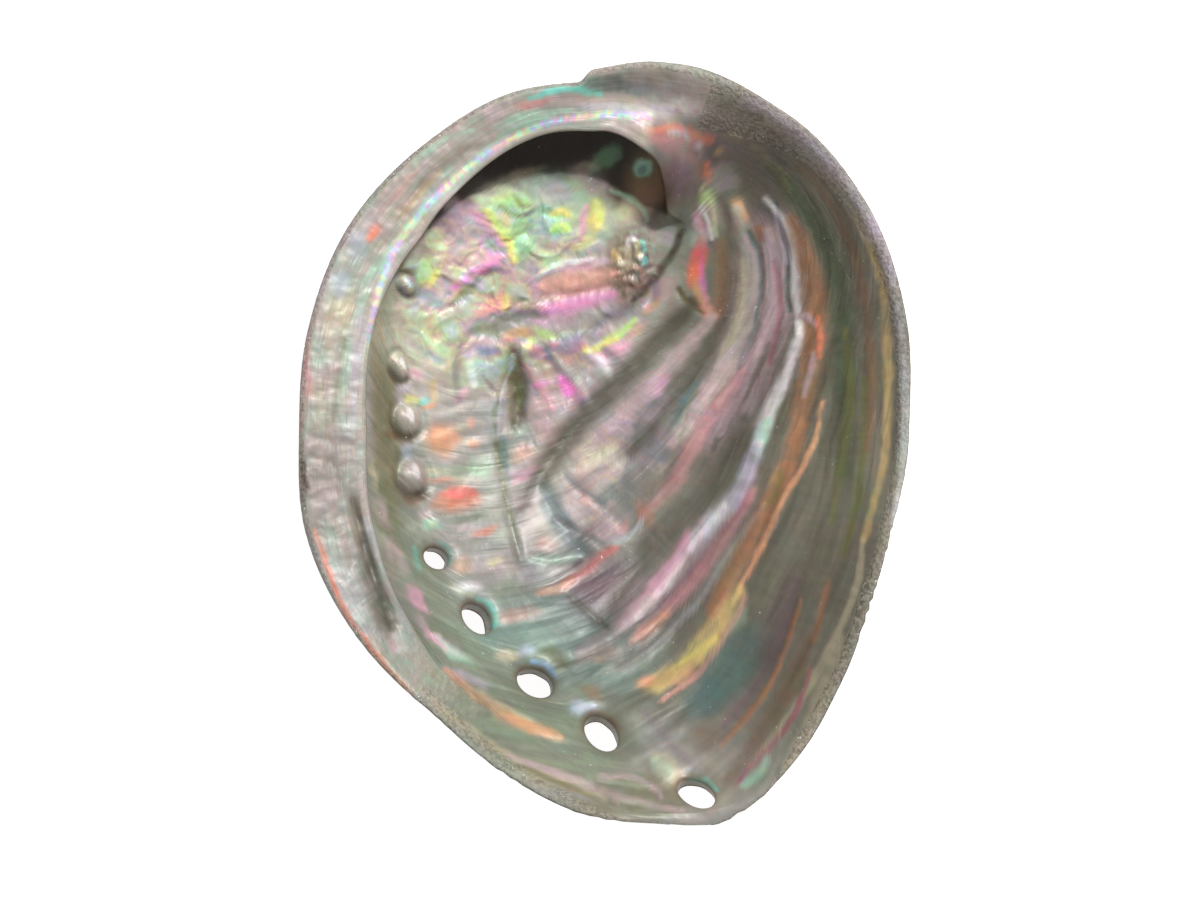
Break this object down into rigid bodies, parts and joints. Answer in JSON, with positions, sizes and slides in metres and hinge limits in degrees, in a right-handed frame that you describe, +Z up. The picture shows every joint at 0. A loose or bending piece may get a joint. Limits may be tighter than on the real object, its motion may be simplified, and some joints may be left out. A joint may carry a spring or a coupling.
{
  "type": "abalone shell",
  "caption": "Ear-shaped, bowl-like mollusc shell lying open side up, with a curved row of breathing holes, an inner shelf along one margin and a low coiled spire underneath.",
  "frame": {"origin": "middle of the box round the shell, at the surface it rests on", "axes": "+Z up out of the open side, +Y along the length towards the spire end, +X across towards the outer lip"},
  "size_m": [0.1133, 0.1422, 0.0382],
  "materials": {
    "shell": "silvery, iridescent mother of pearl inside, rough and dull outside"
  },
  "bodies": {
    "root": {"shell": "shell"}
  },
  "joints": []
}
